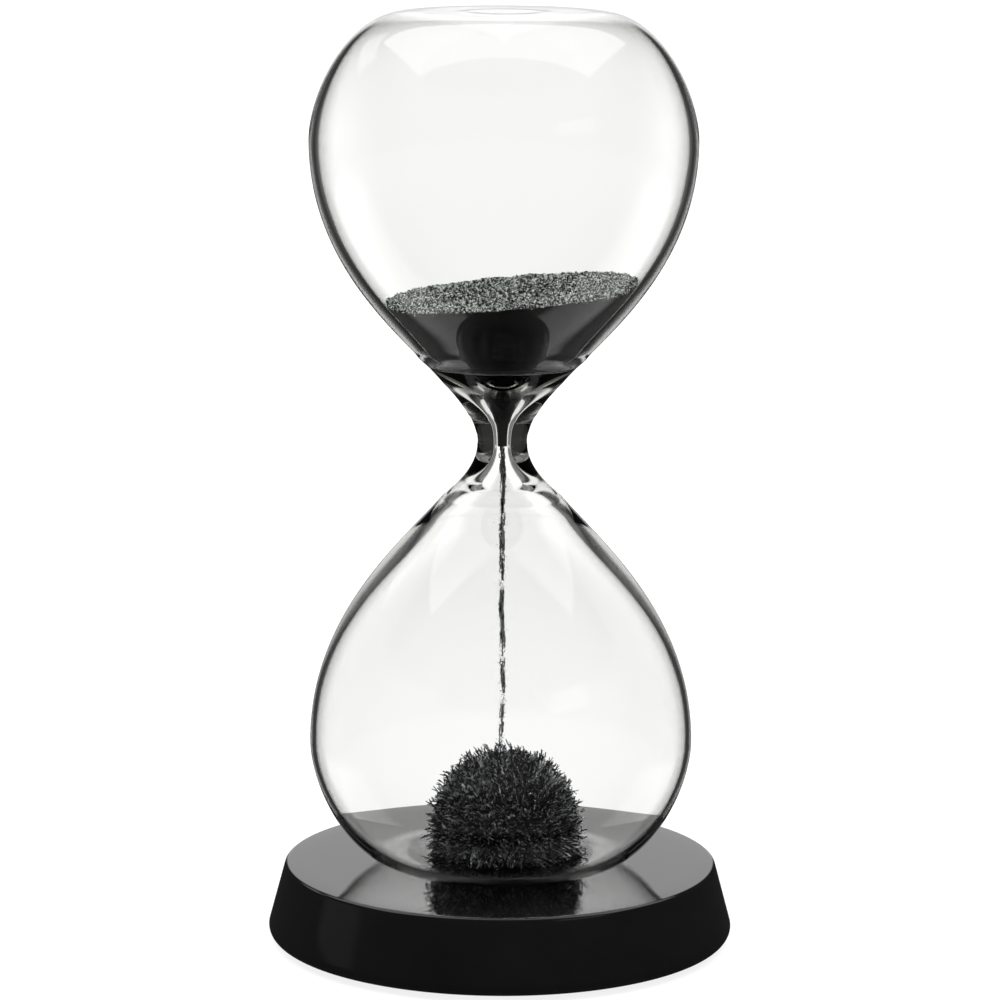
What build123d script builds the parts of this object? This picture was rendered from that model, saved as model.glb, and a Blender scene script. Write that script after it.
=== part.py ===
from build123d import *
import os
from math import cos, radians, sin, tan

# A magnetic hourglass. A sealed glass with two like bulbs holds iron filings and stands loose on a
# round moulded base. A disc magnet under the top of the base draws the fallen filings into a dome.
# Millimetres, +Z up. The origin is on the table, under the middle of the base.

# Base: a moulded shell whose side leans in, closed below by a screwed cover that stands on feet
BASE_R = 40.0
BASE_TOP_Z = 13.6
BASE_TAPER = 15.0  # degrees from upright
BASE_TOP_ROUND = 0.8
BASE_LOW_ROUND = 1.8
TOP_SKIN = 2.0
COVER_R = 37.2
COVER_THICKNESS = 2.0
COVER_GAP = 0.2
COVER_LEDGE = 0.8  # the cover's rim bears on this much of the shell
COVER_EDGE = 0.3
RIB_COUNT = 6
RIB_THICKNESS = 1.2
RIB_DEPTH = 6.0

# Magnet, in a ring wall under the top of the base, held up by a foam pad
MAGNET_R = 12.5
MAGNET_THICKNESS = 6.0
MAGNET_EDGE = 0.4
MAGNET_GAP = 0.1
RING_WALL = 1.6
RING_TO_COVER = 1.6
PAD_RING_WALL = 1.0
PAD_RING_HEIGHT = 1.0
PAD_RING_GAP = 0.5

# Cover screws and rubber feet
SCREW_COUNT = 3
SCREW_CIRCLE_R = 22.0
SHANK_R = 1.25
SHANK_LENGTH = 6.0
SHANK_TIP = 0.6
HEAD_R = 2.8
HEAD_HEIGHT = 1.1
HEAD_EDGE = 0.3
DRIVE_LENGTH = 3.2  # of each arm of the cross in the head
DRIVE_WIDTH = 0.7
DRIVE_DEPTH = 0.6
HEAD_RECESS_R = 3.2
HEAD_RECESS_DEPTH = 1.2
THROUGH_R = 1.6
BOSS_R = 3.2
PILOT_GAP = 0.03
PILOT_DEPTH = 6.5
FOOT_COUNT = 4
FOOT_CIRCLE_R = 31.0
FOOT_R = 4.5
FOOT_PROUD = 0.8
FOOT_RECESS = 0.8
FOOT_GAP = 0.2
FOOT_EDGE = 0.3

# Glass: heights in each half are taken from the neck plane towards that half's flat end
UPPER, LOWER = 1, -1
HALF_LENGTH = 73.1
BULB_R = 32.8
BULB_R_HEIGHT = 51.6
NECK_R = 4.25
JOINT_R = 10.4  # where the neck piece is fused to a bulb
JOINT_HEIGHT = {UPPER: 10.8, LOWER: 9.4}
CONE_ANGLE = 40.0  # degrees from upright
FLAT_R = 16.4
BULB_WALL = {UPPER: 1.55, LOWER: 1.0}
END_WALL = 1.0
BORE_R = 0.95
BORE_HALF = 0.4
KNEE = (5.0, 7.8)  # radius and height where the throat opens out under the bowl
KNEE_ANGLE = 62.0
BOWL = (11.6, 14.2)  # radius and height where the bowl meets the bulb's own wall
BOWL_ANGLE = 32.0
SEAL_R = 6.4
# How far each curve follows the direction that it starts in and the one that it ends in
WAIST_PULL = (4.9, 1.0)
THROAT_PULL = (3.2, 2.8)
BOWL_PULL = (2.4, 2.6)
WALL_PULL = (6.0, 21.0)
CONE_PULL = (9.7, 21.6)
SHOULDER_PULL = (7.2, 10.2)

# Iron filings
IRON_GAP = 0.15  # clear of the glass at the sides
HEAP_HEIGHT = 25.8  # of the heap's top on the axis, above the neck plane
HEAP_TILT = 5.2  # degrees, with the +X side higher
CRATER_R = 17.0
CRATER_DEPTH = 2.2
DOME_R = 13.5  # at its widest above the foot
DOME_HEIGHT = 20.4
DOME_FOOT_R = 13.9
DOME_SIDE = 6.5  # height where the side turns into the crown
DOME_SHIFT = 0.9  # the dome stands this far to +X of the axis
DOME_ROUNDNESS = 0.55  # share of its size that the crown follows each end direction
STREAM_LOW_R = 0.42
STREAM_HIGH_R = 0.75

# Worked out from the sizes above
NECK_Z = BASE_TOP_Z + HALF_LENGTH
GLASS_FLOOR_Z = BASE_TOP_Z + END_WALL
GLASS_TOP_Z = NECK_Z + HALF_LENGTH
COVER_TOP_Z = FOOT_PROUD + COVER_THICKNESS
SKIN_Z = BASE_TOP_Z - TOP_SKIN
MAGNET_LOW_Z = SKIN_Z - MAGNET_THICKNESS
LEAN = tan(radians(BASE_TAPER))


def turned(*edges):
    """The solid that a closed outline in the XZ plane makes about the Z axis."""
    return revolve(make_face(list(edges)), Axis.Z)


def lathe(*corners):
    """The solid turned from straight edges round (radius, height) corners."""
    points = [(r, 0, z) for r, z in corners]
    return turned(*[Line(a, b) for a, b in zip(points, points[1:] + points[:1])])


def disc(radius, low_z, high_z):
    """An upright cylinder between two heights."""
    return Pos(0, 0, (low_z + high_z) / 2) * Cylinder(radius, high_z - low_z)


def ring(inner_r, outer_r, low_z, high_z):
    """An upright tube between two heights."""
    return disc(outer_r, low_z, high_z) - disc(inner_r, low_z, high_z)


def rim(solid, index):
    """A solid's round edge, counted from the lowest."""
    return solid.edges().filter_by(GeomType.CIRCLE).sort_by(Axis.Z)[index]


# Base


def screw_places():
    return PolarLocations(SCREW_CIRCLE_R, SCREW_COUNT)


def foot_places():
    return PolarLocations(FOOT_CIRCLE_R, FOOT_COUNT, 180 / FOOT_COUNT)


def base_shell():
    """The moulded shell, with a ring wall for the magnet, radial ribs and screw bosses inside."""
    # the sharp corner stands out so that the rounded one reaches BASE_R
    corner_r = BASE_R + BASE_LOW_ROUND * (LEAN + 1 / cos(radians(BASE_TAPER)) - 1)
    top_r = corner_r - LEAN * (BASE_TOP_Z - FOOT_PROUD)
    body = lathe((0, FOOT_PROUD), (corner_r, FOOT_PROUD), (top_r, BASE_TOP_Z), (0, BASE_TOP_Z))
    body = fillet(rim(body, -1), BASE_TOP_ROUND)
    body = fillet(rim(body, 0), BASE_LOW_ROUND)

    recess_r = COVER_R + COVER_GAP
    cavity_r = recess_r - COVER_LEDGE
    cavity_top_r = cavity_r - LEAN * (SKIN_Z - COVER_TOP_Z)
    cavity = lathe((0, COVER_TOP_Z), (cavity_r, COVER_TOP_Z), (cavity_top_r, SKIN_Z), (0, SKIN_Z))
    body -= disc(recess_r, FOOT_PROUD, COVER_TOP_Z) + cavity

    pocket_r = MAGNET_R + MAGNET_GAP
    wall_r = pocket_r + RING_WALL
    inside = ring(pocket_r, wall_r, COVER_TOP_Z + RING_TO_COVER, SKIN_Z)
    rib_length = BASE_R - pocket_r - RING_WALL / 2
    rib = Pos(0, 0, SKIN_Z - RIB_DEPTH / 2) * Box(rib_length, RIB_THICKNESS, RIB_DEPTH)
    for place in PolarLocations(BASE_R - rib_length / 2, RIB_COUNT):
        inside += place * rib
    for place in screw_places():
        inside += place * disc(BOSS_R, COVER_TOP_Z, SKIN_Z)
    body += inside & cavity
    for place in screw_places():
        body -= place * disc(SHANK_R + PILOT_GAP, COVER_TOP_Z, COVER_TOP_Z + PILOT_DEPTH)
    return body


def base_cover():
    """The plate that closes the base, with recesses for the screw heads and the feet."""
    plate = disc(COVER_R, FOOT_PROUD, COVER_TOP_Z)
    plate = chamfer(rim(plate, 0), COVER_EDGE)
    pad_ring_r = MAGNET_R + PAD_RING_GAP
    plate += ring(pad_ring_r, pad_ring_r + PAD_RING_WALL, COVER_TOP_Z, COVER_TOP_Z + PAD_RING_HEIGHT)
    for place in screw_places():
        plate -= place * disc(THROUGH_R, FOOT_PROUD, COVER_TOP_Z)
        plate -= place * disc(HEAD_RECESS_R, FOOT_PROUD, FOOT_PROUD + HEAD_RECESS_DEPTH)
    for place in foot_places():
        plate -= place * disc(FOOT_R + FOOT_GAP, FOOT_PROUD, FOOT_PROUD + FOOT_RECESS)
    return plate


def disc_magnet():
    """The magnet, flat against the inside of the base's top."""
    magnet = disc(MAGNET_R, MAGNET_LOW_Z, SKIN_Z)
    return chamfer(magnet.edges().filter_by(GeomType.CIRCLE), MAGNET_EDGE)


def magnet_pad():
    """The foam disc that the cover presses up against the magnet."""
    return disc(MAGNET_R, COVER_TOP_Z, MAGNET_LOW_Z)


def cover_screw():
    """A pan-head screw on the Z axis, at the height where it stands in the cover."""
    seat_z = FOOT_PROUD + HEAD_RECESS_DEPTH
    low_z = seat_z - HEAD_HEIGHT
    head = disc(HEAD_R, low_z, seat_z)
    head = fillet(rim(head, 0), HEAD_EDGE)
    for angle in (0, 90):
        arm = Box(DRIVE_LENGTH, DRIVE_WIDTH, DRIVE_DEPTH)
        head -= Pos(0, 0, low_z + DRIVE_DEPTH / 2) * Rot(0, 0, angle) * arm
    shank = disc(SHANK_R, seat_z, seat_z + SHANK_LENGTH)
    return head + chamfer(rim(shank, -1), SHANK_TIP)


def foot():
    """A rubber foot on the Z axis, at the height where it stands in the cover."""
    pad = disc(FOOT_R, 0, FOOT_PROUD + FOOT_RECESS)
    return chamfer(rim(pad, 0), FOOT_EDGE)


# Glass


def curve(start, end, pulls, angles, side):
    """A smooth edge of one half, UPPER or LOWER, whose angles are from upright."""
    (r0, h0), (r1, h1) = start, end
    leave, arrive = [radians(a) for a in angles]
    first = (r0 + pulls[0] * sin(leave), h0 + pulls[0] * cos(leave))
    last = (r1 - pulls[1] * sin(arrive), h1 - pulls[1] * cos(arrive))
    return Bezier(*[(r, 0, NECK_Z + side * h) for r, h in (start, first, last, end)])


def shoulder_curve(inset, end_inset, side):
    """A bulb's side from its widest ring over to its flat end."""
    start, end = (BULB_R - inset, BULB_R_HEIGHT), (FLAT_R, HALF_LENGTH - end_inset)
    return curve(start, end, SHOULDER_PULL, (0, -90), side)


def throat_curve(gap, side):
    """The flare inside the neck piece, from its bore to its knee, kept inwards by a gap."""
    start, end = (BORE_R - gap, BORE_HALF), (KNEE[0] - gap, KNEE[1])
    return curve(start, end, THROAT_PULL, (0, KNEE_ANGLE), side)


def bowl_curves(gap, side):
    """The inside from the throat's knee round the bowl and out to the widest ring, kept inwards by a gap."""
    knee, bowl = (KNEE[0] - gap, KNEE[1]), (BOWL[0] - gap, BOWL[1])
    widest = (BULB_R - BULB_WALL[side] - gap, BULB_R_HEIGHT)
    return [curve(knee, bowl, BOWL_PULL, (KNEE_ANGLE, BOWL_ANGLE), side),
            curve(bowl, widest, WALL_PULL, (BOWL_ANGLE, 0), side)]


def bulb(side, hole_r=0.0):
    """One blown bulb, open at its fused joint, with a round hole in its flat end."""
    joint = (JOINT_R, JOINT_HEIGHT[side])
    outside = [curve(joint, (BULB_R, BULB_R_HEIGHT), CONE_PULL, (CONE_ANGLE, 0), side),
               shoulder_curve(0, 0, side)]
    inside = bowl_curves(0, side) + [shoulder_curve(BULB_WALL[side], END_WALL, side)]
    outer_end = (hole_r, 0, NECK_Z + side * HALF_LENGTH)
    inner_end = (hole_r, 0, NECK_Z + side * (HALF_LENGTH - END_WALL))
    return turned(*outside, *inside,
                  Line(outside[0] @ 0, inside[0] @ 0),
                  Line(outside[-1] @ 1, outer_end),
                  Line(outer_end, inner_end),
                  Line(inner_end, inside[-1] @ 1))


def neck():
    """The thick waist with its narrow bore, fused between the bulbs."""
    edges = [Line((BORE_R, 0, NECK_Z - BORE_HALF), (BORE_R, 0, NECK_Z + BORE_HALF))]
    for side in (UPPER, LOWER):
        waist = curve((NECK_R, 0), (JOINT_R, JOINT_HEIGHT[side]), WAIST_PULL, (0, CONE_ANGLE), side)
        throat = throat_curve(0, side)
        edges += [waist, throat, Line(waist @ 1, throat @ 1)]
    return turned(*edges)


def fill_seal():
    """The button of glass that closes the filling hole in the top end."""
    return disc(SEAL_R, GLASS_TOP_Z - END_WALL, GLASS_TOP_Z)


# Iron filings


def upper_heap():
    """Filings that fill the bore and wait above it, with a slumped top that has a shallow crater."""
    wall = [throat_curve(IRON_GAP, UPPER)] + bowl_curves(IRON_GAP, UPPER)
    low, high = wall[0] @ 0, wall[-1] @ 1
    corners = [high, (0, 0, high.Z), (0, 0, NECK_Z - BORE_HALF), (low.X, 0, NECK_Z - BORE_HALF), low]
    filled = turned(*wall, *[Line(a, b) for a, b in zip(corners, corners[1:])])
    crater = Bezier((0, 0, -CRATER_DEPTH), (CRATER_R / 2, 0, -CRATER_DEPTH), (CRATER_R / 2, 0, 0),
                    (CRATER_R, 0, 0))
    far, high_up = 2 * BULB_R, BULB_R
    air = turned(crater, Line((CRATER_R, 0, 0), (far, 0, 0)), Line((far, 0, 0), (far, 0, high_up)),
                 Line((far, 0, high_up), (0, 0, high_up)), Line((0, 0, high_up), (0, 0, -CRATER_DEPTH)))
    return filled - Pos(0, 0, NECK_Z + HEAP_HEIGHT) * Rot(0, -HEAP_TILT, 0) * air


def spike_dome():
    """The space that the standing spikes of filings fill over the magnet."""
    low, widest, top = [GLASS_FLOOR_Z + h for h in (0, DOME_SIDE, DOME_HEIGHT)]
    side = Bezier((DOME_FOOT_R, 0, low), (DOME_R, 0, (low + widest) / 2), (DOME_R, 0, widest))
    crown = Bezier((DOME_R, 0, widest), (DOME_R, 0, widest + DOME_ROUNDNESS * (top - widest)),
                   (DOME_ROUNDNESS * DOME_R, 0, top), (0, 0, top))
    axis, foot_line = Line((0, 0, top), (0, 0, low)), Line((0, 0, low), (DOME_FOOT_R, 0, low))
    return Pos(DOME_SHIFT, 0, 0) * turned(side, crown, axis, foot_line)


def stream():
    """The thread of falling filings, from the bottom of the bore to the dome."""
    low, high = GLASS_FLOOR_Z + DOME_HEIGHT, NECK_Z - BORE_HALF
    return Pos(0, 0, (low + high) / 2) * Cone(STREAM_LOW_R, STREAM_HIGH_R, high - low)


def all_parts():
    """Every separate piece, by the name of its node."""
    parts = {
        "base_shell": base_shell(),
        "base_cover": base_cover(),
        "disc_magnet": disc_magnet(),
        "magnet_pad": magnet_pad(),
        "lower_bulb": bulb(LOWER),
        "neck": neck(),
        "upper_bulb": bulb(UPPER, SEAL_R),
        "fill_seal": fill_seal(),
        "upper_filings": upper_heap(),
        "falling_filings": stream(),
        "filings_dome": spike_dome(),
    }
    for number, place in enumerate(screw_places(), 1):
        parts[f"cover_screw_{number}"] = place * cover_screw()
    for number, place in enumerate(foot_places(), 1):
        parts[f"foot_{number}"] = place * foot()
    return parts


os.makedirs("parts", exist_ok=True)
for name, shape in all_parts().items():
    export_step(shape, f"parts/{name}.step")
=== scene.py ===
from math import radians

import bpy
import numpy as np
from mathutils import Matrix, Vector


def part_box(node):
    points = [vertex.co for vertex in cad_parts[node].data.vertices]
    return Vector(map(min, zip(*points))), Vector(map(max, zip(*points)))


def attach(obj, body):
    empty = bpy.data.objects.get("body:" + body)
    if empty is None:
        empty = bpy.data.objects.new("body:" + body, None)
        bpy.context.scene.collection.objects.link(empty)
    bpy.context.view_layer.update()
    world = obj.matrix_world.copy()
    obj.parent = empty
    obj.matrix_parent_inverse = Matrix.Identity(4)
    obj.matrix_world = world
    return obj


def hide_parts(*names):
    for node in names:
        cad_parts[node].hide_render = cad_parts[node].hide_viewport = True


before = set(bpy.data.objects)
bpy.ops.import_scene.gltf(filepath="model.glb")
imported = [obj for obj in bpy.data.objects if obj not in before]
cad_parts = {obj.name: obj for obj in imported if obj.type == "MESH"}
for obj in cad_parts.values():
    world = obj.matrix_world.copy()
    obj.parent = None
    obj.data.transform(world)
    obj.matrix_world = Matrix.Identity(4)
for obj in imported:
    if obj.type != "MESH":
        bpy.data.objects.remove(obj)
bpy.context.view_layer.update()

# A magnetic hourglass. Lengths below are millimetres, and MM turns them into Blender's metres.
MM = 0.001

# Shape of the glass: heights in each half are taken from the neck plane towards its flat end
NECK_R = 4.25
JOINT_R = 10.4
UPPER_JOINT = 10.8
LOWER_JOINT = 9.4
CONE_ANGLE = 40.0
WIDEST_HEIGHT = 51.6
FLAT_R = 16.4
UPPER_WALL = 1.55
LOWER_WALL = 1.0
SHOULDER_INSET = 0.8
UPPER_END_WALL = 0.55
LOWER_END_WALL = 1.0
BORE_R = 0.95
BORE_HALF = 0.4
# The throat of each half: where it opens out, where the bulb was fused to the thick neck, its directions
# from upright at the knee, below the seam and above it, and how far its two curves hold them
UPPER_THROAT = ((2.0, 6.6), (11.5, 14.2), (25.0, 72.0, 33.0), (2.4, 2.0), (5.2, 3.8))
LOWER_THROAT = ((5.0, 7.8), (11.6, 14.2), (62.0, 32.0, 32.0), (3.2, 2.8), (2.4, 2.6))
# Marks of the fusing on the upper half's outside: height, depth and width of two steps, and a swelling
FUSED_STEPS = ((4.7, 0.16, 0.1), (1.9, 0.08, 0.12))
STEP_FADE = 0.4
SWELLING = 0.2
SWELLING_ABOVE_SEAM = 0.4
SWELLING_WIDTH = 0.7
SEAL_R = 6.4
SEAL_GROOVE = 0.1
SEAL_GROOVE_WIDTH = 0.35
# How far each curve follows the direction that it starts in and the one that it ends in
WAIST_PULL = (4.9, 1.0)
WALL_PULL = (6.0, 21.0)
CONE_PULL = (9.7, 21.6)
SHOULDER_PULL = (7.2, 10.2)
GLASS_SEGMENTS = 160

# Shape of the heap of filings
HEAP_TILT = 5.2  # degrees, with the +X side higher
CRATER_R = 17.0
CRATER_DEPTH = 2.2
CRATER_Y = -1.5
HEAP_HEIGHT = 25.8
HEAP_FORWARD = 0.022  # how steeply its top rises to the front
HEAP_GAP = 0.15
HEAP_BELOW = 40  # a height that all of the heap lies under
HEAP_RIM_GUESS = 20.0
HEAP_RIM_STEPS = 20
HEAP_SEGMENTS = 160
HEAP_SIDE_RINGS = 70
HEAP_TOP_RINGS = 24
HEAP_GRAINS = 17000
HEAP_EDGE = 0.1  # the loose grains stay this far inside the rim
HEAP_SEED = 11
GRAIN = 0.2  # half the length of a grain
GRAIN_SHAPE = (1.5, 1.0, 0.8)
# Painted shade: the bodies under the grains and strands take this tone, which gives them the darkest iron
# colour for the shade in the gaps between grains and strands.
PAINTED_SHADE = -1.0  # of the plain bodies under the grains, which stay dark

# Shape of the falling thread
THREAD_BUNCHES = 46
BUNCH = 5  # strands in each
THREAD_DUST = 1700  # single grains
DUST_GRAIN = 0.085
STRAYED_SHARE = 0.95  # single grains above this share stray further
THREAD_INTO_DOME = 0.8
THREAD_BELOW_NECK = 0.2
THREAD_SEED = 23

# Shape of the dome
DOME_R = 13.3
DOME_FOOT = 13.9
DOME_SIDE = 6.0
DOME_HEIGHT = 19.3
DOME_ROUND = 1.85  # the power in its crown's curve
DOME_X = 0.9  # the dome leans a little to the right
CORE = 0.78  # share of the dome's size that its dark core fills
CORE_RINGS = 26
CORE_SEGMENTS = 72
STRANDS = 5600
STRAND_SIDES = 3
STRAND_TAPER = 0.15
LONG_SHARE = 0.9  # strands above this share are long ones
TWIG_ROUNDS = 2
TWIG_THICKNESS = 0.85  # as a share of the strand's
DOME_CLEAR = 0.15  # the strands' tips stay this far above the glass floor
MAGNET_Z = 8.6
DOME_SEED = 37

# Shape of the base's shell
COVER_TOP = 2.8
BASE_TAPER = 15.0  # degrees from upright
BASE_TOP_ROUND = 0.8
BASE_LOW_ROUND = 1.8
TOP_SKIN = 2.0
COVER_GAP = 0.2
HOLLOW_INSET = 0.6
FLAT_START = 4  # where the plain rings of the flat top start, in from its edge
SHARP_ANGLE = 35

# Materials of the base's other pieces: darkest and lightest colour, roughness, scale and depth of the
# texture, and how metallic they are
BASE_MATERIALS = {
    "cover_plastic": ((0.02, 0.02, 0.021), (0.04, 0.04, 0.041), 0.5, 1500.0, 0.00004, 0.0),
    "screw_steel": ((0.4, 0.4, 0.41), (0.62, 0.62, 0.62), 0.3, 2500.0, 0.00001, 1.0),
    "foot_rubber": ((0.02, 0.02, 0.02), (0.05, 0.05, 0.05), 0.75, 1800.0, 0.00005, 0.0),
    "magnet_nickel": ((0.55, 0.53, 0.5), (0.72, 0.7, 0.66), 0.25, 900.0, 0.00001, 1.0),
    "pad_foam": ((0.06, 0.06, 0.062), (0.15, 0.15, 0.155), 0.9, 700.0, 0.0002, 0.0),
}
# Which nodes wear them, by how their names start
WORN_BY = {
    "base_cover": "cover_plastic",
    "disc_magnet": "magnet_nickel",
    "magnet_pad": "pad_foam",
    "cover_screw": "screw_steel",
    "foot_": "foot_rubber",
}

# Camera, fitted to the photo
CAMERA_PLACE = (0.0, -0.7106, 0.2069)
CAMERA_DOWN = 10.368
CAMERA_ROLL = 0.31
CAMERA_LENS = 152.5
CAMERA_SHIFT = -0.002

# Floor
FLOOR_R = 9  # metres
FLOOR_SIDES = 96
FLOOR_GLOW = 0.84

# The overhead panel, as shares of its height: its half-sizes, its soft edge and how far its middle is to
# the back. Then its strength in the gloss and on the filings.
PANEL_ACROSS = 0.9
PANEL_ALONG = 0.6
PANEL_EDGE = 0.06
PANEL_MIDDLE = 0.35
PANEL_MIRRORED = 1.7
PANEL_CAST = 4.8
LOWEST_RISE = 0.01

# The world's ramps: from one angle to another, in degrees, the brightness goes from one value to another.
# "rise" is the height of a direction, "swing" how far it turns to either side of straight back.
BAND_REPEAT = 22.5
BAND_GAPS = (3, 10, 1.0, 1.4)
BAND_TOP = (26, 42, 1.0, 0.0)  # by rise
BAND_FOOT = (-56, -38, 0.0, 1.0)  # by rise
RIM_NEAR = (8, 19, 1.2, 0.06)  # by swing
RIM_FAR = (25, 36, 0.06, 0.24)  # by swing
RIM_BELOW = (-34, -12, 0.3, 1.0)  # by rise
RIM_FLOOR = (-62, -50, 0.2, 0.0)  # by rise
SIDE_START = (40, 50, 0.0, 1.1)  # by swing
SIDE_TOP = (-20, -8, 1.0, 0.0)  # by rise
SIDE_END = (80, 95, 1.0, 0.0)  # by swing
INSIDE_UP = (0, 8, 0.5, 0.95)  # by rise
INSIDE_AHEAD = (5, 14, 1.8, 0.75)  # by swing
SKY = (10, 60, 0.6, 1.1)  # by rise
BENT_LEAST = 0.05
BENT_STRENGTH = 1.13
SOLID_GLASS = 0.025  # share of it that shows through solid glass
MIRRORED_LEAST = 0.02
CAMERA_SEES = 1.05
# Light that has crossed fewer surfaces than this hasn't yet passed a second wall
ONE_WALL = 3.0

# The bright walls that gloss reflects: where each stands about the object, the lowest and highest angle
# that it covers, how softly it ends, and its strength
BACKDROPS = ((0, 0, 27, 5, 1.06), (-45, 26, 34, 2, 0.9), (-90, 2, 9, 2, 0.12), (135, 18, 25, 2, 0.9))
BACKDROP_SIDES = (9, 18)


def in_mm(vector):
    return np.array(vector) / MM


LOW_END = in_mm(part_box("lower_bulb")[0])[2]
HIGH_END = in_mm(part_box("upper_bulb")[1])[2]
BULB_R = in_mm(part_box("upper_bulb")[1])[0]
NECK_Z = (LOW_END + HIGH_END) / 2
HALF_LENGTH = (HIGH_END - LOW_END) / 2
BASE_R = in_mm(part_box("base_shell")[1])[0]
BASE_LOW, BASE_TOP = in_mm(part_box("base_shell")[0])[2], in_mm(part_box("base_shell")[1])[2]
COVER_R = in_mm(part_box("base_cover")[1])[0]
DOME_LOW, DOME_HIGH = in_mm(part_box("filings_dome"))


# Node helpers


class Nodes:
    """A small helper that adds and links nodes in one tree."""

    def __init__(self, tree):
        self.tree = tree
        tree.nodes.clear()

    def put(self, value, socket):
        """Gives a socket a value, or a link from another socket."""
        if isinstance(value, bpy.types.NodeSocket):
            self.tree.links.new(value, socket)
        else:
            socket.default_value = value

    def add(self, kind, inputs=(), **settings):
        node = self.tree.nodes.new(kind)
        for name, value in settings.items():
            setattr(node, name, value)
        for name, value in dict(inputs).items():
            self.put(value, node.inputs[name])
        return node

    def math(self, operation, *values):
        node = self.add("ShaderNodeMath", operation=operation)
        for value, socket in zip(values, node.inputs):
            self.put(value, socket)
        return node.outputs[0]

    def times(self, first, *others):
        """The product of several numbers."""
        for other in others:
            first = self.math("MULTIPLY", first, other)
        return first

    def most(self, first, *others):
        """The largest of several numbers."""
        for other in others:
            first = self.math("MAXIMUM", first, other)
        return first

    def mix(self, factor, low, high):
        """A number between low and high."""
        inputs = {"Factor": factor, "A": low, "B": high}
        return self.add("ShaderNodeMix", inputs, data_type="FLOAT").outputs[0]

    def span(self, value, low, high, out_low=0.0, out_high=1.0):
        """value from low..high to out_low..out_high, with soft ends."""
        inputs = {"Value": value, "From Min": low, "From Max": high, "To Min": out_low, "To Max": out_high}
        return self.add("ShaderNodeMapRange", inputs, interpolation_type="SMOOTHSTEP").outputs["Result"]

    def ramp(self, angle, ramp):
        """A brightness that changes from one angle to another: a ramp has both in degrees."""
        start, end, before, after = ramp
        return self.span(angle, radians(start), radians(end), before, after)

    def noise(self, scale, detail):
        place = self.add("ShaderNodeTexCoord").outputs["Object"]
        inputs = {"Scale": scale, "Detail": detail, "Roughness": 0.55, "Vector": place}
        return self.add("ShaderNodeTexNoise", inputs).outputs["Fac"]

    def blend(self, factor, low, high):
        """A colour between low and high."""
        node = self.add("ShaderNodeMix", data_type="RGBA")
        self.put(factor, node.inputs[0])
        self.put((*low, 1.0), node.inputs[6])
        self.put((*high, 1.0), node.inputs[7])
        return node.outputs[2]

    def bump(self, height, strength, distance):
        inputs = {"Height": height, "Strength": strength, "Distance": distance}
        return self.add("ShaderNodeBump", inputs).outputs["Normal"]


def material(name):
    made = bpy.data.materials.new(name)
    made.use_nodes = True
    return made, Nodes(made.node_tree)


def finish_material(n, inputs, volume=None):
    """One Principled surface, and what fills the inside."""
    shader = n.add("ShaderNodeBsdfPrincipled", inputs)
    output = n.add("ShaderNodeOutputMaterial", {"Surface": shader.outputs[0]})
    if volume is not None:
        n.put(volume, output.inputs["Volume"])


# Materials


def glass_material():
    """Clear glass with slow waves, faint smudges and a slight tint that shows along its edges."""
    made, n = material("blown_glass")
    ripple = n.bump(n.noise(55.0, 2.0), 0.05, 0.0004)
    smudge = n.span(n.noise(140.0, 3.0), 0.62, 0.8, 0.0, 0.004)
    tint = n.blend(n.noise(30.0, 2.0), (0.985, 0.99, 0.985), (1.0, 1.0, 1.0))
    body = n.add("ShaderNodeVolumeAbsorption", {"Color": (0.38, 0.40, 0.30, 1.0), "Density": 40.0})
    finish_material(n, {"Base Color": tint, "Roughness": smudge, "Normal": ripple,
                        "IOR": 1.48, "Transmission Weight": 1.0}, body.outputs[0])
    return made


def iron_material(name, dark, light, low, high):
    """Iron grains, from dark to light as the shade kept on their points goes from low to high."""
    made, n = material(name)
    shade = n.add("ShaderNodeAttribute", attribute_name="shade").outputs["Fac"]
    grain = n.noise(5200.0, 2.0)
    mixed = n.span(n.math("ADD", shade, n.span(grain, 0.3, 0.7, -0.1, 0.1)), low, high)
    finish_material(n, {"Base Color": n.blend(mixed, dark, light),
                        "Roughness": n.span(grain, 0.3, 0.7, 0.3, 0.55),
                        "Metallic": 0.6,
                        "Specular IOR Level": 0.25,
                        "Normal": n.bump(grain, 0.4, 0.00005)})
    return made


def lacquer_material():
    """Gloss black with faint clouds, dust and waves."""
    made, n = material("black_lacquer")
    cloud = n.noise(60.0, 5.0)
    dust = n.noise(900.0, 3.0)
    rough = n.math("ADD", n.span(cloud, 0.3, 0.7, 0.03, 0.07), n.span(dust, 0.66, 0.85, 0.0, 0.2))
    finish_material(n, {"Base Color": n.blend(cloud, (0.003, 0.003, 0.0032), (0.007, 0.007, 0.0073)),
                        "Roughness": rough,
                        "Normal": n.bump(n.noise(240.0, 3.0), 0.03, 0.0002),
                        "IOR": 1.5})
    return made


def moulded_material(name, low, high, rough, scale, depth, metallic):
    """A moulded, cast or plated surface with a fine texture."""
    made, n = material(name)
    cloud, fine = n.noise(90.0, 4.0), n.noise(scale, 3.0)
    shade = n.span(n.math("ADD", cloud, n.math("MULTIPLY", fine, 0.5)), 0.4, 1.1)
    finish_material(n, {"Base Color": n.blend(shade, low, high),
                        "Roughness": n.span(fine, 0.3, 0.7, rough - 0.08, rough + 0.08),
                        "Metallic": metallic,
                        "Normal": n.bump(fine, 0.5, depth)})
    return made


# Mesh helpers


def unit(vectors):
    """Vectors made one long."""
    return vectors / np.linalg.norm(vectors, axis=1)[:, None]


def bezier(points, count):
    """count + 1 places along a cubic curve."""
    t = np.linspace(0, 1, count + 1)[:, None]
    a, b, c, d = [np.array(p, float) for p in points]
    return (1 - t) ** 3 * a + 3 * (1 - t) ** 2 * t * b + 3 * (1 - t) * t * t * c + t ** 3 * d


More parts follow.
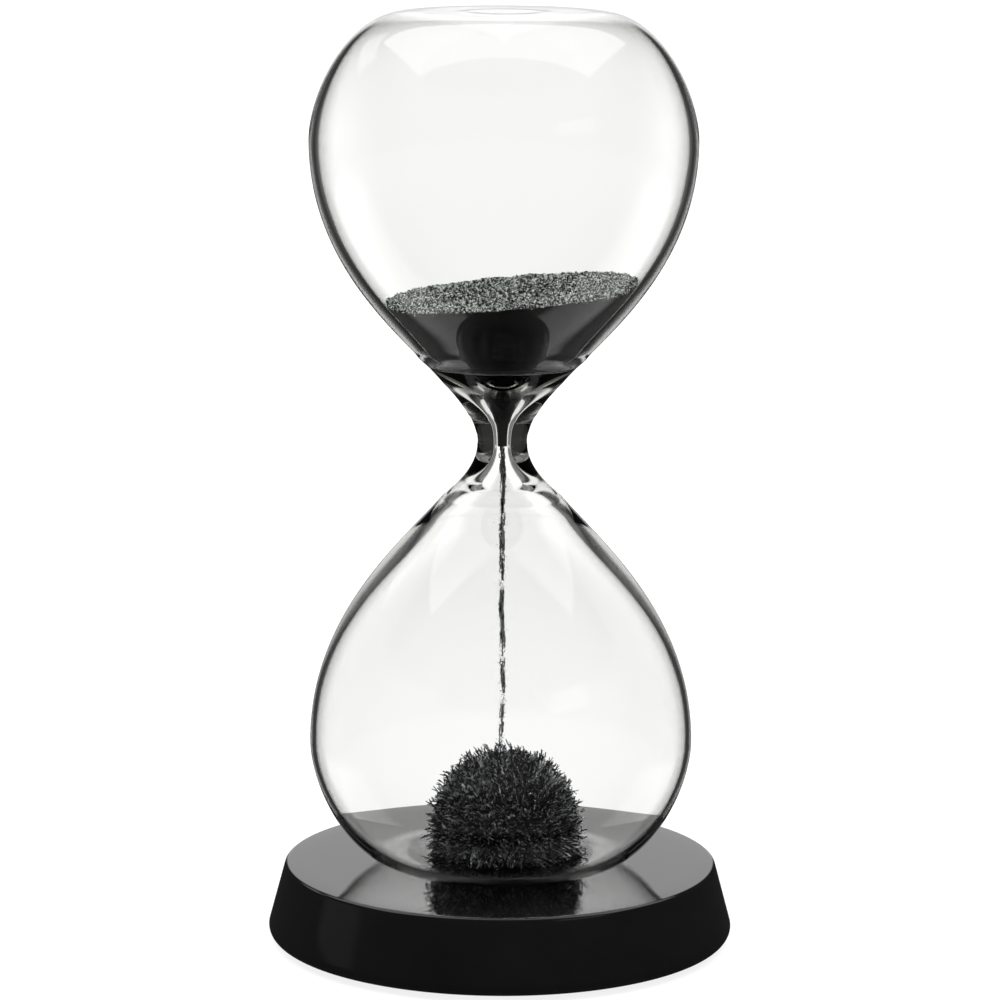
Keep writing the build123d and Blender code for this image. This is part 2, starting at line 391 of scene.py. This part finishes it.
def curve(start, end, pulls, angles, count):
    """A smooth line of (radius, height) places whose end directions are angles from upright."""
    leave, arrive = np.radians(angles)
    first = np.add(start, pulls[0] * np.array([np.sin(leave), np.cos(leave)]))
    last = np.subtract(end, pulls[1] * np.array([np.sin(arrive), np.cos(arrive)]))
    return bezier((start, first, last, end), count)


def straight(start, end, count):
    t = np.linspace(0, 1, count + 1)[:, None]
    return np.array(start, float) * (1 - t) + np.array(end, float) * t


def joined(*lines):
    """Lines end to end, without the places that repeat."""
    return np.vstack([lines[0]] + [line[1:] for line in lines[1:]])


def outer_half(joint_height):
    joint, widest, flat = (JOINT_R, joint_height), (BULB_R, WIDEST_HEIGHT), (FLAT_R, HALF_LENGTH)
    return joined(curve((NECK_R, 0), joint, WAIST_PULL, (0, CONE_ANGLE), 52),
                  curve(joint, widest, CONE_PULL, (CONE_ANGLE, 0), 76),
                  curve(widest, flat, SHOULDER_PULL, (0, -90), 32),
                  straight(flat, (0, HALF_LENGTH), 22))


def inner_half(throat, wall, end_wall, inset=0.0):
    """The inside: a straight bore, a throat that opens at its knee, a bowl, and the bulb's own wall."""
    knee, seam, (knee_angle, bowl_angle, wall_angle), throat_pull, bowl_pull = throat
    floor = HALF_LENGTH - end_wall
    bore, knee, seam = (BORE_R - inset, BORE_HALF), (knee[0] - inset, knee[1]), (seam[0] - inset, seam[1])
    widest = (BULB_R - wall - inset, WIDEST_HEIGHT)
    return joined(straight((BORE_R - inset, 0), bore, 2),
                  curve(bore, knee, throat_pull, (0, knee_angle), 24),
                  curve(knee, seam, bowl_pull, (knee_angle, bowl_angle), 20),
                  curve(seam, widest, WALL_PULL, (wall_angle, 0), 40),
                  curve(widest, (FLAT_R - SHOULDER_INSET, floor), SHOULDER_PULL, (0, -90), 32),
                  straight((FLAT_R - SHOULDER_INSET, floor), (0, floor), 10))


def both_halves(upper, lower):
    """Two halves joined at the neck: (radius, z) from the bottom end to the top end."""
    upper = upper * (1, 1) + (0, NECK_Z)
    lower = lower * (1, -1) + (0, NECK_Z)
    return joined(lower[::-1], upper)


def ring_faces(rows, segments):
    """Faces over rows of rings, closed at both ends with the two points that follow the rings."""
    low, high = rows * segments, rows * segments + 1
    last = (rows - 1) * segments
    ring = np.arange(segments)
    ahead = (ring + 1) % segments
    pairs = list(zip(ring.tolist(), ahead.tolist()))
    faces = []
    for row in range(rows - 1):
        a, b = row * segments, (row + 1) * segments
        faces += np.stack([a + ring, a + ahead, b + ahead, b + ring], -1).tolist()
    faces += [(low, b, a) for a, b in pairs]
    faces += [(last + a, last + b, high) for a, b in pairs]
    return faces


def revolve(outline, segments, inward=False):
    """Points and faces of the surface an outline makes about the Z axis, both its ends on the axis."""
    turns = np.linspace(0, 2 * np.pi, segments, endpoint=False)
    rings = outline[1:-1]
    points = np.stack([rings[:, None, 0] * np.cos(turns), rings[:, None, 0] * np.sin(turns),
                       np.broadcast_to(rings[:, None, 1], (len(rings), segments))], -1).reshape(-1, 3)
    points = np.vstack([points, (0, 0, outline[0, 1]), (0, 0, outline[-1, 1])])
    faces = ring_faces(len(rings), segments)
    if inward:
        faces = [tuple(reversed(face)) for face in faces]
    return points, faces


def piece(name, points, faces, mat, body="hourglass", smooth=True, shade=None):
    """A mesh object from points in millimetres, riding on a body."""
    mesh = bpy.data.meshes.new(name)
    mesh.from_pydata((np.asarray(points) * MM).tolist(), [], [tuple(f) for f in faces])
    mesh.polygons.foreach_set("use_smooth", [smooth] * len(mesh.polygons))
    if shade is not None:
        mesh.attributes.new("shade", "FLOAT", "POINT").data.foreach_set("value", shade.astype(np.float32))
    mesh.materials.append(mat)
    made = bpy.data.objects.new(name, mesh)
    bpy.context.scene.collection.objects.link(made)
    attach(made, body)
    return made


# The glass


def fused_outer():
    """The upper half's outside, with the slight steps and the swelling left where it was fused."""
    line = outer_half(UPPER_JOINT)
    for height, depth, width in FUSED_STEPS:
        below = (height - line[:, 1]).clip(0)
        line[:, 0] -= depth / (1 + np.exp((line[:, 1] - height) / width)) * np.exp(-STEP_FADE * below)
    _, seam_height = UPPER_THROAT[1]
    from_middle = line[:, 1] - seam_height - SWELLING_ABOVE_SEAM
    line[:, 0] += SWELLING * np.exp(-(from_middle / SWELLING_WIDTH) ** 2)
    return line


def build_glass(mat):
    """Both bulbs, the neck and the sealed filling hole: one fused wall with an outer and an inner face."""
    outer = both_halves(fused_outer(), outer_half(LOWER_JOINT))
    top = outer[:, 1] > HIGH_END - 0.001
    outer[top, 1] -= SEAL_GROOVE * np.exp(-((outer[top, 0] - SEAL_R) / SEAL_GROOVE_WIDTH) ** 2)
    inner = both_halves(inner_half(UPPER_THROAT, UPPER_WALL, UPPER_END_WALL),
                        inner_half(LOWER_THROAT, LOWER_WALL, LOWER_END_WALL))
    out_points, out_faces = revolve(outer, GLASS_SEGMENTS)
    in_points, in_faces = revolve(inner, GLASS_SEGMENTS, inward=True)
    offset = len(out_points)
    faces = out_faces + [tuple(i + offset for i in face) for face in in_faces]
    glass = piece("hourglass_glass", np.vstack([out_points, in_points]), faces, mat)
    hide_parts("upper_bulb", "neck", "lower_bulb", "fill_seal")


# Grains and strands of iron: each function makes points, faces and shades


OCTAHEDRON = np.array([(1, 0, 0), (-1, 0, 0), (0, 1, 0), (0, -1, 0), (0, 0, 1), (0, 0, -1)], float)
OCTAHEDRON_FACES = np.array([(0, 2, 4), (2, 1, 4), (1, 3, 4), (3, 0, 4),
                             (2, 0, 5), (1, 2, 5), (3, 1, 5), (0, 3, 5)])


def random_turns(rng, count):
    """Random rotation matrices."""
    w, x, y, z = unit(rng.normal(size=(count, 4))).T
    rows = [1 - 2 * (y * y + z * z), 2 * (x * y - z * w), 2 * (x * z + y * w),
            2 * (x * y + z * w), 1 - 2 * (x * x + z * z), 2 * (y * z - x * w),
            2 * (x * z - y * w), 2 * (y * z + x * w), 1 - 2 * (x * x + y * y)]
    return np.stack(rows, -1).reshape(-1, 3, 3)


def grains(rng, centres, size):
    """Irregular grains at the centres."""
    count = len(centres)
    scale = size * rng.uniform(0.6, 1.15, (count, 1)) * np.array(GRAIN_SHAPE)
    corners = OCTAHEDRON[None] * scale[:, None, :] * rng.uniform(0.6, 1.25, (count, 6, 1))
    points = np.einsum("nij,nkj->nki", random_turns(rng, count), corners) + centres[:, None, :]
    faces = OCTAHEDRON_FACES[None] + 6 * np.arange(count)[:, None, None]
    shade = np.repeat(rng.uniform(0, 1, count), 6)
    return points.reshape(-1, 3), faces.reshape(-1, 3), shade


def strand_faces(joints):
    """Triangles of one strand: its sides, its pointed tip and its closed foot."""
    sides = STRAND_SIDES
    faces = []
    for j in range(joints - 1):
        for k in range(sides):
            a, b = j * sides + k, j * sides + (k + 1) % sides
            faces += [(a, b, b + sides), (a, b + sides, a + sides)]
    tip, last = joints * sides, (joints - 1) * sides
    faces += [(last + k, last + (k + 1) % sides, tip) for k in range(sides)]
    faces += [(k, (k + 2) % sides, (k + 1) % sides) for k in range(0, sides - 2)]
    return np.array(faces)


def spikes(rng, roots, directions, lengths, thickness, joints, kink):
    """Crooked, beaded strands that stand on roots."""
    count = len(roots)
    t = np.linspace(0, 1, joints + 1)
    t[-2] = 0.25 * t[-2] + 0.75  # a blunt end
    path = roots[:, None, :] + directions[:, None, :] * (lengths[:, None, None] * t[None, :, None])
    path[:, 1:] += rng.normal(0, kink, (count, joints, 3))
    helper = np.where(np.abs(directions[:, 2:3]) < 0.8, np.array([[0, 0, 1.0]]), np.array([[1.0, 0, 0]]))
    u = unit(np.cross(directions, helper))
    v = np.cross(directions, u)
    radius = thickness[:, None] * (1.0 - STRAND_TAPER * t)[None] * rng.uniform(0.7, 1.4, (count, joints + 1))
    turn = np.linspace(0, 2 * np.pi, STRAND_SIDES, endpoint=False)
    ring = (u[:, None, None, :] * np.cos(turn)[None, None, :, None]
            + v[:, None, None, :] * np.sin(turn)[None, None, :, None])
    body = path[:, :-1, None, :] + ring * radius[:, :-1, None, None]
    points = np.concatenate([body.reshape(count, -1, 3), path[:, -1:, :]], 1)
    faces = strand_faces(joints)[None] + points.shape[1] * np.arange(count)[:, None, None]
    beads = np.append(np.repeat(np.arange(joints), STRAND_SIDES), joints)
    shade = rng.uniform(0, 1, (count, 1)) + rng.uniform(-0.3, 0.3, (count, joints + 1))[:, beads]
    return points.reshape(-1, 3), faces.reshape(-1, 3), shade.reshape(-1)


def painted_shade_body(points, faces):
    """A body under the grains, given the darkest iron colour as painted shade for the gaps and depths
    between grains and strands.
    """
    return points, faces, np.full(len(points), PAINTED_SHADE)


def merged(*parts):
    """Several made as one."""
    points, faces, shades, offset = [], [], [], 0
    for p, f, s in parts:
        points.append(p)
        faces += [tuple(int(i) + offset for i in face) for face in f]
        shades.append(s)
        offset += len(p)
    return np.vstack(points), faces, np.concatenate(shades)


def iron_piece(name, parts, mat, across=0.0):
    """A piece of filings, moved to +X."""
    points, faces, shade = merged(*parts)
    return piece(name, points + (across, 0, 0), faces, mat, smooth=False, shade=shade)


# The heap


def heap_top(x, y):
    """Height of the heap's slumped surface above the neck plane."""
    t = np.clip(np.hypot(x, y - CRATER_Y) / CRATER_R, 0, 1)
    crater = -CRATER_DEPTH * (1 - t * t * (3 - 2 * t))
    lumps = 0.12 * np.sin(0.9 * x + 0.4) * np.sin(0.8 * y + 1.1) + 0.07 * np.sin(2.3 * x) * np.cos(2.0 * y)
    return HEAP_HEIGHT + np.tan(np.radians(HEAP_TILT)) * x - HEAP_FORWARD * y + crater + lumps


def heap_rim(wall, turns):
    """Radius and height of the line where the heap's top meets the glass, stepped to from a guess."""
    radius = np.full(len(turns), HEAP_RIM_GUESS)
    for _ in range(HEAP_RIM_STEPS):
        height = heap_top(radius * np.cos(turns), radius * np.sin(turns))
        radius = np.interp(height, wall[:, 1], wall[:, 0])
    return radius, height


def heap_body(wall, turns, rim_r, rim_h):
    """The heap's surface: up along the glass from the bore to the rim, then in over its top."""
    rings = []
    for share in np.linspace(0, 1, HEAP_SIDE_RINGS):
        h = -BORE_HALF + (rim_h + BORE_HALF) * share
        r = np.interp(h, wall[:, 1], wall[:, 0])
        rings.append(np.stack([r * np.cos(turns), r * np.sin(turns), NECK_Z + h], -1))
    for share in np.linspace(1, 0, HEAP_TOP_RINGS)[1:-1]:
        x, y = rim_r * share * np.cos(turns), rim_r * share * np.sin(turns)
        rings.append(np.stack([x, y, NECK_Z + heap_top(x, y)], -1))
    ends = [(0, 0, NECK_Z - BORE_HALF), (0, 0, NECK_Z + heap_top(0, 0))]
    # The body takes the darkest iron colour: painted shade under and between the loose grains.
    return painted_shade_body(np.vstack(rings + [ends]), ring_faces(len(rings), len(turns)))


def heap_grains(rng, turns, rim_r):
    """Loose grains spread over the heap's top."""
    share = np.sqrt(rng.uniform(0, 1, HEAP_GRAINS))
    turn = rng.uniform(0, 2 * np.pi, HEAP_GRAINS)
    edge = np.interp(turn, turns, rim_r, period=2 * np.pi)
    x, y = share * (edge - HEAP_EDGE) * np.cos(turn), share * (edge - HEAP_EDGE) * np.sin(turn)
    centres = np.stack([x, y, NECK_Z + heap_top(x, y) + rng.uniform(-0.1, 0.16, HEAP_GRAINS)], -1)
    return grains(rng, centres, GRAIN)


def build_heap(mat):
    """The heap in the upper bulb: a body in painted shade against the glass and loose grains over its top.
    """
    rng = np.random.default_rng(HEAP_SEED)
    wall = inner_half(UPPER_THROAT, UPPER_WALL, UPPER_END_WALL, HEAP_GAP)
    wall = wall[wall[:, 1] < HEAP_BELOW]
    turns = np.linspace(0, 2 * np.pi, HEAP_SEGMENTS, endpoint=False)
    rim_r, rim_h = heap_rim(wall, turns)
    parts = heap_body(wall, turns, rim_r, rim_h), heap_grains(rng, turns, rim_r)
    made = iron_piece("filings_heap", parts, mat)
    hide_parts("upper_filings")


# The thread


def thread_places(t, aside, top, fall):
    """Places beside the falling thread's middle, for shares t of its fall."""
    across = 0.10 * np.sin(31 * t + 0.6) * t + 0.28 * np.sin(8.5 * t + 1.0) * t + 0.16 * np.sin(3 * t)
    middle = np.stack([across, 0.2 * np.sin(11 * t)], -1)
    return np.concatenate([middle + aside, (top - fall * t)[:, None]], 1)


def thread_strands(rng, top, fall):
    """Bunches of crooked strands."""
    count = THREAD_BUNCHES * BUNCH
    start = np.repeat(rng.uniform(0, 1, THREAD_BUNCHES) ** 1.5 * 0.96, BUNCH) + rng.normal(0, 0.012, count)
    end = np.clip(start + rng.uniform(0.015, 0.06, count), 0, 1)
    start = np.clip(start, 0, 1)
    spread = 0.6 - 0.26 * np.sqrt(start)
    turn, out = rng.uniform(0, 2 * np.pi, count), spread * rng.uniform(0.3, 1.1, count)
    aside = np.stack([out * np.cos(turn), out * np.sin(turn)], -1)
    roots = thread_places(start, aside, top, fall)
    way = thread_places(end, aside * rng.uniform(0.2, 1.2, (count, 1)), top, fall) - roots
    length = np.linalg.norm(way, axis=1) + 1e-6
    thick = rng.uniform(0.07, 0.15, count)
    return spikes(rng, roots, way / length[:, None], length, thick, joints=8, kink=0.05)


def thread_dust(rng, top, fall):
    """Single grains, a few of them strayed."""
    t = rng.uniform(0, 1, THREAD_DUST)
    aside = rng.normal(0, 0.26, (THREAD_DUST, 2))
    aside *= np.where(rng.uniform(0, 1, (THREAD_DUST, 1)) > STRAYED_SHARE, 2.6, 1.0)
    return grains(rng, thread_places(t, aside, top, fall), DUST_GRAIN)


def build_thread(mat):
    """The falling thread, which is dense at the bore and breaks up lower down."""
    rng = np.random.default_rng(THREAD_SEED)
    low, top = DOME_HIGH[2] - THREAD_INTO_DOME, NECK_Z - THREAD_BELOW_NECK
    parts = thread_strands(rng, top, top - low), thread_dust(rng, top, top - low)
    made = iron_piece("filings_thread", parts, mat)
    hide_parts("falling_filings")


# The dome


def dome_radius(h):
    """Radius of the dome's outer shape at heights h above the glass floor."""
    h = np.asarray(h, float)
    low = DOME_FOOT + (DOME_R - DOME_FOOT) * np.sin(np.clip(h / DOME_SIDE, 0, 1) * np.pi / 2)
    up = np.clip((h - DOME_SIDE) / (DOME_HEIGHT - DOME_SIDE), 0, 1)
    return np.where(h < DOME_SIDE, low, DOME_R * np.sqrt(1 - up ** DOME_ROUND))


def dome_places(count):
    """Evenly spread places on the dome's outer shape: heights above the floor and turns about the axis."""
    hs = np.linspace(0, DOME_HEIGHT, 200)
    r = dome_radius(hs)
    area = np.append(0, np.cumsum(np.hypot(np.diff(hs), np.diff(r)) * (r[1:] + r[:-1])))
    share = (np.arange(count) + 0.5) / count
    return np.interp(share * area[-1], area, hs), np.arange(count) * np.pi * (3 - np.sqrt(5))


def dome_core(floor):
    """The core that the strands stand on, dark with painted shade for the gaps between them."""
    hs = np.linspace(0, DOME_HEIGHT, CORE_RINGS)
    sides = [(r, floor + h * CORE) for h, r in zip(hs, dome_radius(hs) * CORE)]
    outline = np.array([(0.0, floor)] + sides)
    outline[-1] = (0, floor + DOME_HEIGHT * CORE)
    return painted_shade_body(*revolve(outline, CORE_SEGMENTS))


def field(points):
    """Directions of the magnet's field, which the standing spikes follow."""
    away = unit(points - (0, 0, MAGNET_Z))
    return unit(3 * away[:, 2:3] * away - (0, 0, 1))


def dome_lean(rng, skin):
    """Directions of the strands: the magnet's field, with slow waves and some scatter."""
    x, y, z = skin.T
    wave = np.stack([np.sin(0.9 * y + 0.8 * z), np.sin(0.8 * z + 1.1 * x), np.sin(1.0 * x + 0.7 * y)], -1)
    return unit(field(skin) + 0.28 * wave + rng.normal(0, 0.12, skin.shape))


def dome_reach(rng, skin):
    """How far each strand's tip stands out of the dome's shape: in clumps, with some long ones."""
    x, y, z = skin.T
    clump = np.sin(x * 1.1 + 2) * np.sin(y * 1.0) * np.sin(z * 0.9 + 1)
    reach = -1.1 + 0.7 * clump + rng.uniform(-0.7, 0.5, STRANDS)
    long = rng.uniform(0, 1, STRANDS) > LONG_SHARE
    reach[long] += rng.uniform(0.9, 1.7, long.sum())
    return reach


def dome_stand(rng, floor):
    """Roots, directions, lengths and thicknesses of the dome's strands."""
    h, turn = dome_places(STRANDS)
    r = dome_radius(h)
    skin = np.stack([r * np.cos(turn), r * np.sin(turn), floor + h], -1) + rng.normal(0, 0.14, (STRANDS, 3))
    lean = dome_lean(rng, skin)
    tip = skin + lean * dome_reach(rng, skin)[:, None]
    root = tip - lean * rng.uniform(2.6, 3.4, STRANDS)[:, None]
    tip[:, 2] = np.maximum(tip[:, 2], floor + DOME_CLEAR + rng.uniform(0, 0.5, STRANDS))
    root[:, 2] = np.maximum(root[:, 2], floor + 2 * DOME_CLEAR)
    way = tip - root
    length = np.linalg.norm(way, axis=1)
    return root, way / length[:, None], length, rng.uniform(0.09, 0.15, STRANDS)


def dome_twigs(rng, floor, root, way, length, thick):
    """One round of short twigs that fork off the strands."""
    fork = root + way * (length * rng.uniform(0.5, 0.85, STRANDS))[:, None]
    twig = unit(way + rng.normal(0, 0.4, way.shape))
    twig_length = rng.uniform(0.5, 1.2, STRANDS)
    twig[:, 2] = np.maximum(twig[:, 2], (floor + DOME_CLEAR - fork[:, 2]) / twig_length)
    return spikes(rng, fork, twig, twig_length, thick * TWIG_THICKNESS, joints=3, kink=0.05)


def build_dome(mat):
    """The dome over the magnet: a core in painted shade under strands of grains that stand along its field.
    """
    rng = np.random.default_rng(DOME_SEED)
    floor = DOME_LOW[2]
    stand = dome_stand(rng, floor)
    strands = spikes(rng, *stand, joints=6, kink=0.09)
    made = iron_piece("filings_spikes", (dome_core(floor), strands), mat, DOME_X)
    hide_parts("filings_dome")
    twigs = [dome_twigs(rng, floor, *stand) for _ in range(TWIG_ROUNDS)]
    iron_piece("filings_twigs", twigs, mat, DOME_X)


# The base keeps its CAD pieces, apart from its shell


def dress(node, mat):
    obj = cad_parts[node]
    obj.data.materials.clear()
    obj.data.materials.append(mat)


def rounded(corner, before, after, radius, count):
    """Places round a corner, between the lines that come from before and go to after."""
    corner, before, after = [np.array(p, float) for p in (corner, before, after)]
    u, v = before - corner, after - corner
    u, v = u / np.linalg.norm(u), v / np.linalg.norm(v)
    half = np.arccos(np.clip(u @ v, -1, 1)) / 2
    centre = corner + (u + v) / np.linalg.norm(u + v) * radius / np.sin(half)
    start, end = [corner + w * radius / np.tan(half) - centre for w in (u, v)]
    sweep = np.pi - 2 * half
    t = np.linspace(0, 1, count)[:, None]
    return centre + (np.sin((1 - t) * sweep) * start + np.sin(t * sweep) * end) / np.sin(sweep)


def shell_outline():
    """(radius, z) places of the shell, from the middle of its hollow round to the middle of its top."""
    lean = np.tan(np.radians(BASE_TAPER))
    corner_r = BASE_R + BASE_LOW_ROUND * (lean + 1 / np.cos(np.radians(BASE_TAPER)) - 1)
    top_r = corner_r - lean * (BASE_TOP - BASE_LOW)
    low, high = (corner_r, BASE_LOW), (top_r, BASE_TOP)
    recess, hollow = COVER_R + COVER_GAP, COVER_R - HOLLOW_INSET
    under = BASE_TOP - TOP_SKIN
    hollow_top = hollow - lean * (under - COVER_TOP)
    outline = np.vstack([straight((0, under), (hollow_top, under), 12),
                         straight((hollow_top, under), (hollow, COVER_TOP), 4),
                         straight((hollow, COVER_TOP), (recess, COVER_TOP), 2),
                         straight((recess, COVER_TOP), (recess, BASE_LOW), 2),
                         rounded(low, (recess, BASE_LOW), high, BASE_LOW_ROUND, 14),
                         rounded(high, low, (0, BASE_TOP), BASE_TOP_ROUND, 12),
                         straight((top_r - FLAT_START, BASE_TOP), (0, BASE_TOP), 24)])
    keep = np.append(True, np.linalg.norm(np.diff(outline, axis=0), axis=1) > 1e-6)
    return outline[keep]


def build_shell(mat):
    """The base's moulded shell, turned smooth: its top, its leaning side and the recess for the cover."""
    points, faces = revolve(shell_outline(), GLASS_SEGMENTS)
    made = piece("base_shell_smooth", points, faces, mat, body="base")
    made.data.set_sharp_from_angle(angle=radians(SHARP_ANGLE))
    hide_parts("base_shell")


def build_base():
    build_shell(lacquer_material())
    worn = {name: moulded_material(name, *looks) for name, looks in BASE_MATERIALS.items()}
    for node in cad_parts:
        for start, name in WORN_BY.items():
            if node.startswith(start):
                dress(node, worn[name])


# Studio


def build_floor():
    turns = np.linspace(0, 2 * np.pi, FLOOR_SIDES, endpoint=False)
    edge = [(FLOOR_R * np.cos(t), FLOOR_R * np.sin(t), 0) for t in turns]
    mesh = bpy.data.meshes.new("floor")
    mesh.from_pydata(edge, [], [tuple(range(FLOOR_SIDES))])
    floor = bpy.data.objects.new("floor", mesh)
    bpy.context.scene.collection.objects.link(floor)
    made, n = material("pale_floor")
    finish_material(n, {"Base Color": n.blend(n.noise(40.0, 3.0), (0.15, 0.15, 0.15), (0.17, 0.17, 0.17)),
                        "Roughness": 0.9,
                        "Specular IOR Level": 0.0,
                        "Emission Color": (1, 1, 1, 1),
                        "Emission Strength": FLOOR_GLOW})
    mesh.materials.append(made)
    floor.visible_transmission = False
    floor.visible_glossy = False


def overhead_panel(n, x, y, z):
    """1 in the wide panel overhead and 0 round it."""
    above = n.most(z, LOWEST_RISE)
    across = n.math("ABSOLUTE", n.math("DIVIDE", x, above))
    along = n.math("ABSOLUTE", n.math("SUBTRACT", n.math("DIVIDE", y, above), PANEL_MIDDLE))
    return n.times(n.span(across, PANEL_ACROSS, PANEL_ACROSS + PANEL_EDGE, 1.0, 0.0),
                   n.span(along, PANEL_ALONG, PANEL_ALONG + PANEL_EDGE, 1.0, 0.0))


def through_both_walls(n, turn, rise, panel):
    """A bright band all round, brighter beside each usual view, which is dark high up and low down."""
    gaps = n.ramp(n.math("PINGPONG", turn, radians(BAND_REPEAT)), BAND_GAPS)
    band = n.times(n.ramp(rise, BAND_TOP), n.ramp(rise, BAND_FOOT), gaps)
    return n.times(n.most(band, panel, BENT_LEAST), BENT_STRENGTH)


def back_in_one_wall(n, swing, rise):
    """What light turned back inside one wall sees, which shows as the glass's dark rim."""
    back = n.times(n.most(n.ramp(swing, RIM_NEAR), n.ramp(swing, RIM_FAR)), n.ramp(rise, RIM_BELOW))
    beside = n.times(n.ramp(swing, SIDE_START), n.ramp(rise, SIDE_TOP), n.ramp(swing, SIDE_END))
    return n.most(back, beside, n.ramp(rise, RIM_FLOOR))


def bent_light(n, turn, rise, panel, path):
    """What the glass bends, by the way that it took: through both walls, turned back at the far one,
    turned back inside one wall, or passed only through solid glass, as at the neck."""
    swing = n.math("ABSOLUTE", turn)
    through = through_both_walls(n, turn, rise, panel)
    # lighter when it goes up to the backdrop, as from the bulb's flat floor
    inside = n.times(n.ramp(rise, INSIDE_UP), n.ramp(swing, INSIDE_AHEAD))
    bounced = n.math("GREATER_THAN", path["Glossy Depth"], 0.5)
    one_wall = n.math("LESS_THAN", path["Transmission Depth"], ONE_WALL)
    solid = n.mix(bounced, n.times(through, SOLID_GLASS), back_in_one_wall(n, swing, rise))
    return n.mix(one_wall, n.mix(bounced, through, inside), solid)


def mirrored_light(n, turn, rise, panel):
    """What the gloss mirrors: a bright low wall behind the object in each usual view, then dark up to
    the panel."""
    walls = []
    for centre, lowest, highest, fade, strength in BACKDROPS:
        side = n.math("ABSOLUTE", n.math("SUBTRACT", turn, radians(centre)))
        walls.append(n.times(n.ramp(side, (*BACKDROP_SIDES, strength, 0.0)),
                             n.ramp(rise, (highest, highest + fade, 1.0, 0.0)),
                             n.ramp(rise, (lowest - fade, lowest, 0.0, 1.0))))
    return n.most(n.times(panel, PANEL_MIRRORED), MIRRORED_LEAST, *walls)


def build_world():
    """The studio: a white room with one wide panel overhead, and its own brightness for what the glass
    bends, what the gloss mirrors and what lights the filings and the floor."""
    world = bpy.data.worlds.new("studio")
    bpy.context.scene.world = world
    world.use_nodes = True
    n = Nodes(world.node_tree)
    way = n.add("ShaderNodeTexCoord").outputs["Generated"]
    x, y, z = n.add("ShaderNodeSeparateXYZ", {"Vector": way}).outputs
    rise, turn = n.math("ARCSINE", z), n.math("ARCTAN2", x, y)
    path = n.add("ShaderNodeLightPath").outputs
    panel = overhead_panel(n, x, y, z)
    cast = n.math("ADD", n.ramp(rise, SKY), n.times(panel, PANEL_CAST))
    mirrored = mirrored_light(n, turn, rise, panel)
    bent = bent_light(n, turn, rise, panel, path)

    direct = n.math("LESS_THAN", path["Diffuse Depth"], 0.5)
    glassy = n.times(path["Is Transmission Ray"], direct)
    not_bent = n.math("SUBTRACT", 1.0, path["Is Transmission Ray"])
    glossy = n.times(path["Is Glossy Ray"], direct, not_bent)
    strength = cast
    for factor, value in ((glossy, mirrored), (glassy, bent), (path["Is Camera Ray"], CAMERA_SEES)):
        strength = n.mix(factor, strength, value)
    background = n.add("ShaderNodeBackground", {"Color": (1, 1, 1, 1), "Strength": strength})
    n.add("ShaderNodeOutputWorld", {"Surface": background.outputs[0]})


def build_camera():
    data = bpy.data.cameras.new("camera")
    data.lens, data.sensor_width = CAMERA_LENS, 36.0
    data.shift_x = CAMERA_SHIFT
    camera = bpy.data.objects.new("camera", data)
    tilt, roll = radians(90 - CAMERA_DOWN), radians(CAMERA_ROLL)
    turned = Matrix.Rotation(tilt, 4, "X") @ Matrix.Rotation(roll, 4, "Z")
    camera.matrix_world = Matrix.Translation(CAMERA_PLACE) @ turned
    bpy.context.scene.collection.objects.link(camera)
    bpy.context.scene.camera = camera


build_glass(glass_material())
# Painted light: the heap's grains differ in tone at random, but their lightest colour, near white and far
# paler than iron, stands for the overhead panel's light on the heap's top.
build_heap(iron_material("iron_heap", (0.006, 0.0065, 0.007), (0.93, 0.98, 0.95), 0.38, 0.85))
build_thread(iron_material("iron_thread", (0.02, 0.0205, 0.022), (0.42, 0.43, 0.44), 0.1, 0.9))
# Painted shade: the dome's strands are the same iron as the heap's grains, but most of them are set darker,
# for the shade among its tufts.
build_dome(iron_material("iron_spikes", (0.012, 0.0125, 0.014), (0.75, 0.77, 0.79), 0.45, 1.15))
build_base()
build_floor()
build_world()
build_camera()
bpy.context.scene.view_settings.view_transform = "Standard"
